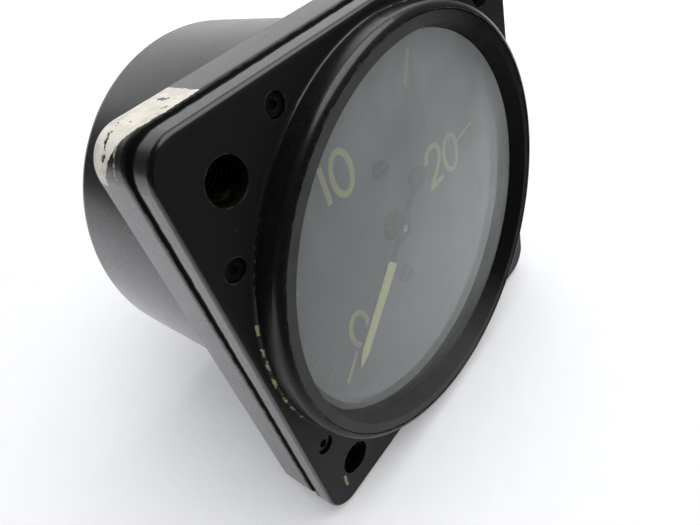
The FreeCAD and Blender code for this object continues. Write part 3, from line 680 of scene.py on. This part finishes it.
def paint_stroke(shape, points, width, closed=False, smooth=True):
    """Adds a stroke through points on the dial (x, z in metres) to a bmesh."""
    line = bpy.data.curves.new("stroke", "CURVE")
    line.dimensions = "3D"
    line.bevel_depth = 0.5 * width
    line.bevel_resolution = 3
    line.resolution_u = 10
    line.use_fill_caps = True
    spline = line.splines.new("NURBS" if smooth else "POLY")
    spline.points.add(len(points) - 1)
    for point, (x, z) in zip(spline.points, points):
        point.co = (x, z, 0.0, 1.0)
    spline.use_cyclic_u = closed
    if smooth:
        spline.order_u = 4
        spline.use_endpoint_u = not closed
    carrier = bpy.data.objects.new("stroke", line)
    mesh = bpy.data.meshes.new_from_object(carrier)
    to_dial = Matrix.Translation((0.0, dial_front, 0.0))
    upright = Matrix.Rotation(math.radians(90.0), 4, "X")
    pressed = Matrix.Diagonal((1.0, 1.0, 2.0 * paint_height / width, 1.0))
    mesh.transform(to_dial @ upright @ pressed)
    shape.from_mesh(mesh)
    bpy.data.objects.remove(carrier)
    bpy.data.curves.remove(line)
    bpy.data.meshes.remove(mesh)


# %% The marks round the scale
def paint_mark(shape, bearing, inner, outer, width):
    """One straight mark that points at the centre."""
    ends = [on_dial(bearing, radius) for radius in (inner, outer)]
    paint_stroke(shape, [(end.x, end.z) for end in ends], width, smooth=False)


rubbed_units = (5, 25)
long_marks = bmesh.new()
short_marks = bmesh.new()
for unit in range(units + 1):
    bearing = scale_start + scale_sweep * unit / units
    if unit % 5 == 0:
        kept = short_marks if unit in rubbed_units else long_marks
        paint_mark(kept, bearing, 18.9 * mm, 23.6 * mm, 0.62 * mm)
    else:
        paint_mark(short_marks, bearing, 21.0 * mm, 23.2 * mm, 0.3 * mm)
make_piece("scale_long_marks", long_marks, luminous_cream, "housing")
make_piece("scale_short_marks", short_marks, faded_mark, "housing")

# %% [markdown]
# The digits are drawn with a few points each, in a cell one unit high. A nought is a closed loop,
# and a two is an open curve with a straight foot.

# %% The numbers
digit_stroke = 0.9 * mm
digit_half_wide = 1.78 * mm
digit_half_high = 2.93 * mm


def nought(centre_x, centre_z):
    """The loop of a nought round its centre: a circle of points, drawn out to an oval."""
    turns = [math.radians(30.0 * step) for step in range(12)]
    grown = 1.045
    return [
        (
            centre_x + grown * digit_half_wide * math.sin(turn),
            centre_z + grown * digit_half_high * math.cos(turn),
        )
        for turn in turns
    ]


two_outline = ((-1.0, 0.5), (-1.0, 1.22), (1.02, 1.3), (1.1, 0.2), (0.25, -0.3), (-0.95, -0.98))
numbers = bmesh.new()
for zero_x, zero_z in ((-6.38, 12.8), (16.54, 2.0), (-11.9, -10.0)):
    paint_stroke(numbers, nought(zero_x * mm, zero_z * mm), digit_stroke, closed=True)
one_x = -9.65 * mm
one_z = (10.35 * mm, 15.6 * mm)
paint_stroke(numbers, [(one_x, z) for z in one_z], digit_stroke, smooth=False)
two_x, two_z = 11.95 * mm, 2.2 * mm
paint_stroke(
    numbers,
    [(two_x + x * digit_half_wide, two_z + z * digit_half_high) for x, z in two_outline],
    digit_stroke,
)
foot = [(two_x + side * digit_half_wide, two_z - 0.95 * digit_half_high) for side in (-1.0, 1.0)]
paint_stroke(numbers, foot, digit_stroke, smooth=False)
make_piece("scale_numbers", numbers, luminous_cream, "housing")

# %% [markdown]
# ## Luminous blade of the pointer
# Only the blade is painted. The strip of paint is one long face, drawn in at the point,
# extruded by its thickness and bevelled along its upper edge, and turned to where the pointer
# rests. It rides on the pointer's body, so it turns with it.

# %% Blade paint
pointer_bearing = math.radians(-130.9)
pointer_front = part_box("pointer")[0].y
blade_paint = 0.12 * mm
blade_stations = ((5.05, 0.8), (5.35, 0.98), (18.55, 0.84), (20.6, 0.06))

blade = bmesh.new()
sides = [
    [blade.verts.new((side * half * mm, pointer_front, z * mm)) for z, half in blade_stations]
    for side in (-1.0, 1.0)
]
outline = blade.faces.new(sides[0] + sides[1][::-1])
raised = bmesh.ops.extrude_face_region(blade, geom=[outline])["geom"]
top_verts = [part for part in raised if isinstance(part, bmesh.types.BMVert)]
bmesh.ops.translate(blade, verts=top_verts, vec=(0.0, -blade_paint, 0.0))
top_edges = [edge for edge in blade.edges if all(vert in top_verts for vert in edge.verts)]
bmesh.ops.bevel(
    blade, geom=top_edges, offset=0.09 * mm, affect="EDGES", segments=3, profile=0.5, material=-1
)
bmesh.ops.recalc_face_normals(blade, faces=blade.faces)
turn = Matrix.Rotation(pointer_bearing, 4, "Y")
bmesh.ops.transform(blade, matrix=turn, verts=blade.verts)
make_piece("pointer_luminous_blade", blade, luminous_blade, "pointer_train")

# %% [markdown]
# ## Screw threads
# A thread is one tooth that travels along the axis as it turns. Spin does exactly that: the tooth
# is a short line of points, and dvec moves it on at each step. The port's thread needs its crest
# at the port's own radius, so it lies in a groove that is cut round a copy of the socket.

# %% A helix of teeth
def thread(shape, centre, root, crest, pitch, start, end):
    """Adds a helical tooth from start to end along Y, round a centre (x, z)."""
    steps = 32
    turns = (end - start) / pitch - 1.0
    tooth = [
        shape.verts.new((centre[0] + radius, start + along * pitch, centre[1]))
        for along, radius in ((0.03, root), (0.44, crest), (0.56, crest), (0.97, root))
    ]
    edges = [shape.edges.new(pair) for pair in zip(tooth, tooth[1:] + tooth[:1])]
    total = max(int(turns * steps), steps)
    bmesh.ops.spin(
        shape,
        geom=tooth + edges,
        cent=(centre[0], 0.0, centre[1]),
        axis=(0.0, 1.0, 0.0),
        dvec=(0.0, pitch / steps, 0.0),
        angle=2.0 * math.pi * total / steps,
        steps=total,
        use_merge=False,
    )
    ends = [edge for edge in shape.edges if edge.is_boundary]
    bmesh.ops.holes_fill(shape, edges=ends, sides=4)


# %% Threads in the inserts
insert_low, insert_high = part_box("mounting_inserts")
insert_bore = 2.05 * mm
insert_pitch = 0.8 * mm
tooth_height = 0.24 * mm
sunk = 0.04 * mm
insert_threads = bmesh.new()
for side_x in (-1.0, 1.0):
    for side_z in (-1.0, 1.0):
        centre = (side_x * hole_offset, side_z * hole_offset)
        thread(
            insert_threads, centre, insert_bore + sunk, insert_bore - tooth_height, insert_pitch,
            insert_low.y + 0.3 * mm, insert_high.y - 0.2 * mm,
        )
bmesh.ops.recalc_face_normals(insert_threads, faces=insert_threads.faces)
make_piece("insert_threads", insert_threads, insert_plate_in_painted_shade, "housing")

# %% The thread on the port
port_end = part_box("pressure_socket")[1].y
nut_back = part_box("stem_nut")[1].y
groove_start, groove_end = nut_back + 1.9 * mm, port_end - 1.3 * mm
thread_root = port_radius - 0.4 * mm
socket_shape = merged_copy("pressure_socket")
end_step = 0.05 * mm
slice_across(
    socket_shape, (groove_start, groove_start + end_step, groove_end - end_step, groove_end)
)
for vert in socket_shape.verts:
    reach = math.hypot(vert.co.x, vert.co.z)
    in_groove = groove_start + 0.5 * end_step < vert.co.y < groove_end - 0.5 * end_step
    if in_groove and reach > thread_root:
        vert.co.x *= thread_root / reach
        vert.co.z *= thread_root / reach
make_piece(
    "socket_turned", socket_shape, turned_brass, "housing", ["pressure_socket"]
)
port_pitch = 1.27 * mm
port_thread = bmesh.new()
thread(
    port_thread, (0.0, 0.0), thread_root - sunk, port_radius, port_pitch, groove_start, groove_end
)
bmesh.ops.recalc_face_normals(port_thread, faces=port_thread.faces)
make_piece("port_thread", port_thread, turned_brass, "housing")

# %% [markdown]
# ## Floor, light and camera
# The gauge lies on a white sheet, resting on the lower edge of its flange and the back of its
# case, so the sheet is tilted a little against the gauge. A large soft lamp stands behind and
# above, as a window would, and makes the long highlight on the ring.

# %% The sheet it lies on
floor_tilt = math.radians(5.1)
rest_edge = Vector((0.0, 9.5 * mm, -half_flange - 0.02 * mm))
bpy.ops.mesh.primitive_grid_add(x_subdivisions=2, y_subdivisions=2, size=2.4)
floor = bpy.context.object
floor.name = "white_sheet"
floor.data.transform(Matrix.Translation(rest_edge) @ Matrix.Rotation(floor_tilt, 4, "X"))
sheet, sheet_shader, sheet_place, sheet_output = new_material("white_sheet_paper")
sheet_tone = cut(sheet, cloud(sheet, sheet_place, 4.0, 6.0), 0.3, 0.7)
connect(sheet, blend_colours(sheet, sheet_tone, "#f6f7f9", "#fbfbfd"), sheet_shader, "Base Color")
connect(sheet, relief(sheet, cloud(sheet, sheet_place, 2.5, 5.0), 0.15), sheet_shader, "Normal")
sheet_shader.inputs["Roughness"].default_value = 0.9
sheet_shader.inputs["Emission Color"].default_value = linear("#ffffff")
sheet_path = add(sheet, "ShaderNodeLightPath").outputs["Is Glossy Ray"]
sheet_y = split(sheet, sheet_place)[1]
near = cut(sheet, sheet_y, -60.0 * mm, -12.0 * mm)
sheet_seen = add(sheet, "ShaderNodeLightPath").outputs["Is Camera Ray"]
raised = combine(sheet, "MAXIMUM", sheet_seen, overlap(sheet, sheet_path, near))
sheet_reach = add(sheet, "ShaderNodeVectorMath", {"operation": "LENGTH"}, {0: sheet_place})
far = cut(sheet, sheet_reach.outputs["Value"], 120.0 * mm, 500.0 * mm, 0.0, 0.8)
far_lift = combine(sheet, "MULTIPLY", sheet_seen, far)
lift = combine(sheet, "ADD", cut(sheet, raised, 0.0, 1.0, 0.0, 0.18), far_lift)
connect(sheet, lift, sheet_shader, "Emission Strength")
# Painted shade: a reflected ray that meets the sheet more than 12 mm in front of the gauge sees a
# dark grey sheet, fully dark beyond 60 mm.
floor_shade_in_gloss = add(sheet, "ShaderNodeBsdfDiffuse", {"Color": linear("#3c3c3e")})
painted_shade_in_gloss = overlap(sheet, sheet_path, cut(sheet, near, 0.0, 1.0, 1.0, 0.0))
sheet_links = {0: painted_shade_in_gloss, 1: sheet_shader.outputs["BSDF"], 2: floor_shade_in_gloss.outputs["BSDF"]}
sheet_mixed = add(sheet, "ShaderNodeMixShader", None, sheet_links)
sheet.node_tree.links.new(sheet_mixed.outputs["Shader"], sheet_output.inputs["Surface"])
floor.data.materials.append(sheet)
floor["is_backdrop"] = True

# %% [markdown]
# The room that shows in the gloss has a bright wall behind the gauge on the right, and is dark on
# the left, overhead and on the reader's side. The direction of a ray picks the tone: three masks
# along x, y and z are multiplied. The camera sees plain white there, and the matt surfaces are
# lit by one even grey.

# %% The room
world = bpy.data.worlds.new("white_room")
bpy.context.scene.world = world
world.use_nodes = True
world.node_tree.nodes.clear()
direction = add(world, "ShaderNodeTexCoord").outputs["Generated"]
toward = add(world, "ShaderNodeSeparateXYZ", None, {"Vector": direction})
lean = {"operation": "MULTIPLY_ADD", 1: 0.19}
lean_links = {0: toward.outputs[1], 2: toward.outputs[0]}
turned_right = add(world, "ShaderNodeMath", lean, lean_links)
wall = overlap(
    world,
    cut(world, turned_right.outputs[0], -0.05, 0.12, 0.05, 1.0),
    cut(world, toward.outputs[1], -0.1, 0.5, 0.15, 1.0),
    cut(world, toward.outputs[2], 0.45, 0.8, 1.0, 0.3),
)
path = add(world, "ShaderNodeLightPath")
glossy, through = path.outputs["Is Glossy Ray"], path.outputs["Is Transmission Ray"]
mirrored = combine(world, "MAXIMUM", glossy, through)
soft = add(world, "ShaderNodeBackground", {"Color": linear("#e6e8ec"), "Strength": 0.55})
room = add(world, "ShaderNodeBackground", {"Color": linear("#f6f7f9")}, {"Strength": wall})
white = add(world, "ShaderNodeBackground", {"Color": linear("#f8f8fa"), "Strength": 1.0})
lit = add(
    world, "ShaderNodeMixShader", None, {0: mirrored, 1: soft.outputs[0], 2: room.outputs[0]}
)
seen = add(
    world,
    "ShaderNodeMixShader",
    None,
    {0: path.outputs["Is Camera Ray"], 1: lit.outputs[0], 2: white.outputs[0]},
)
add(world, "ShaderNodeOutputWorld", None, {"Surface": seen.outputs["Shader"]})


# %% The lamps
def soft_lamp(name, direction, distance, size, watts, aim=Vector((0.0, 0.0, 0.0))):
    """An area lamp at a distance along a direction, turned to the gauge."""
    light = bpy.data.lights.new(name, "AREA")
    light.shape = "DISK"
    light.size = size
    light.energy = watts
    lamp = bpy.data.objects.new(name, light)
    lamp.location = aim + Vector(direction).normalized() * distance
    lamp.rotation_mode = "QUATERNION"
    lamp.rotation_quaternion = (aim - lamp.location).to_track_quat("-Z", "Y")
    bpy.context.scene.collection.objects.link(lamp)
    return lamp


soft_lamp("ceiling_lamp", direction=(0.3, -0.2, 0.93), distance=0.6, size=0.7, watts=2.7)

# %% The camera
camera_place = Vector((-46.38, -39.69, 46.03)) * mm
camera_aim = Vector((-13.01, 0.0, 4.99)) * mm
camera_roll = math.radians(18.53)
camera_data = bpy.data.cameras.new("camera")
camera_data.lens = 28.256
camera_data.sensor_width = 36.0
camera_data.clip_start = 0.002
camera = bpy.data.objects.new("camera", camera_data)
camera.location = camera_place
camera.rotation_mode = "QUATERNION"
look = (camera_aim - camera_place).to_track_quat("-Z", "Y")
camera.rotation_quaternion = look @ Matrix.Rotation(-camera_roll, 3, "Z").to_quaternion()
bpy.context.scene.collection.objects.link(camera)
bpy.context.scene.camera = camera
bpy.context.scene.view_settings.view_transform = "Standard"

# %% Print the two boxes
visual_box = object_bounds()
boxes = {
    "cad": [list(corner) for corner in cad_box],
    "visual": [list(corner) for corner in visual_box],
}
for box_name, corners in boxes.items():
    print(box_name, "box, mm:", [[round(value / mm, 2) for value in corner] for corner in corners])
